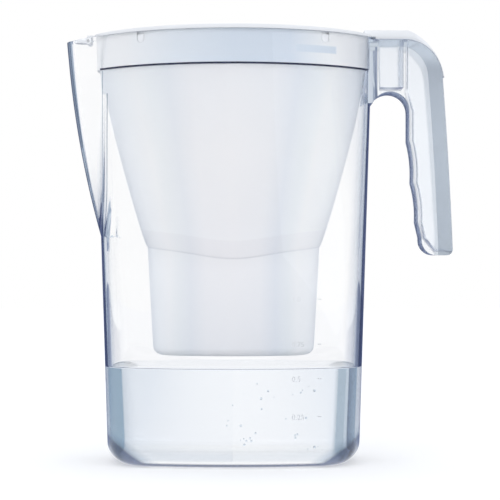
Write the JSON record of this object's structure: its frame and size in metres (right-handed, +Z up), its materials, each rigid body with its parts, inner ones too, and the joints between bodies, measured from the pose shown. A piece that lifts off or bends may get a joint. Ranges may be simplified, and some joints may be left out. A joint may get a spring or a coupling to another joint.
{
  "type": "water filter pitcher",
  "caption": "Clear jug with a V spout and open-backed handle, lift-out funnel, filter cartridge and lid with fill flap, spout flap and change indicator.",
  "frame": {"origin": "middle of the flat underside of the jug", "axes": "+X towards the handle, -X towards the spout, +Z up, Y across the narrow way"},
  "size_m": [0.2306, 0.1116, 0.2573],
  "materials": {
    "clear_plastic": "clear moulded styrene copolymer, polished",
    "white_translucent_plastic": "milky translucent, smooth",
    "cartridge_plastic": "white polypropylene, fine satin",
    "seal_rubber": "soft pale rubber, matte",
    "filter_fabric": "white non-woven fleece",
    "filter_granules": "packed carbon and resin granules",
    "lid_plastic": "white moulded plastic, soft gloss",
    "pin_steel": "drawn stainless wire",
    "case_plastic": "pale blue moulded plastic",
    "board_laminate": "green laminate with solder mask",
    "display_glass": "liquid crystal panel",
    "window_plastic": "clear pane",
    "contact_brass": "plated spring strip",
    "button_plastic": "pale grey, fine satin"
  },
  "bodies": {
    "jug": {"jug": "clear_plastic"},
    "funnel": {"funnel": "white_translucent_plastic"},
    "cartridge": {"cartridge_shell": "cartridge_plastic", "cartridge_seal": "seal_rubber", "cartridge_cap": "cartridge_plastic", "outlet_screen": "filter_fabric", "filter_media": "filter_granules", "inlet_fleece": "filter_fabric"},
    "lid": {"lid_cover": "lid_plastic", "fill_flap_pin": "pin_steel", "spout_flap_pin": "pin_steel", "indicator_case": "case_plastic", "indicator_gasket": "seal_rubber", "circuit_board": "board_laminate", "display_panel": "display_glass", "indicator_window": "window_plastic", "coin_cell": "pin_steel", "battery_contact": "contact_brass", "button_dome": "contact_brass"},
    "fill_flap": {"fill_flap": "lid_plastic"},
    "spout_flap": {"spout_flap": "lid_plastic"},
    "reset_button": {"reset_button": "button_plastic"}
  },
  "joints": [
    {"name": "funnel_lift", "type": "slide", "parent": "jug", "child": "funnel", "axis": [0, 0, 1], "range_m": [0, 0.2]},
    {"name": "cartridge_lift", "type": "slide", "parent": "funnel", "child": "cartridge", "axis": [0, 0, 1], "range_m": [0, 0.085]},
    {"name": "lid_lift", "type": "slide", "parent": "funnel", "child": "lid", "axis": [0, 0, 1], "range_m": [0, 0.05]},
    {"name": "fill_flap_hinge", "type": "hinge", "parent": "lid", "child": "fill_flap", "pos_m": [0.0256, 0, 0.2548], "axis": [0, 1, 0], "range_deg": [0, 100]},
    {"name": "spout_flap_hinge", "type": "hinge", "parent": "lid", "child": "spout_flap", "pos_m": [-0.086, 0, 0.2515], "axis": [0, 1, 0], "range_deg": [0, 60]},
    {"name": "button_press", "type": "slide", "parent": "lid", "child": "reset_button", "axis": [0, 0, -1], "range_m": [0, 0.0005], "stiffness_N_per_m": 900, "springref_m": -0.0006}
  ]
}
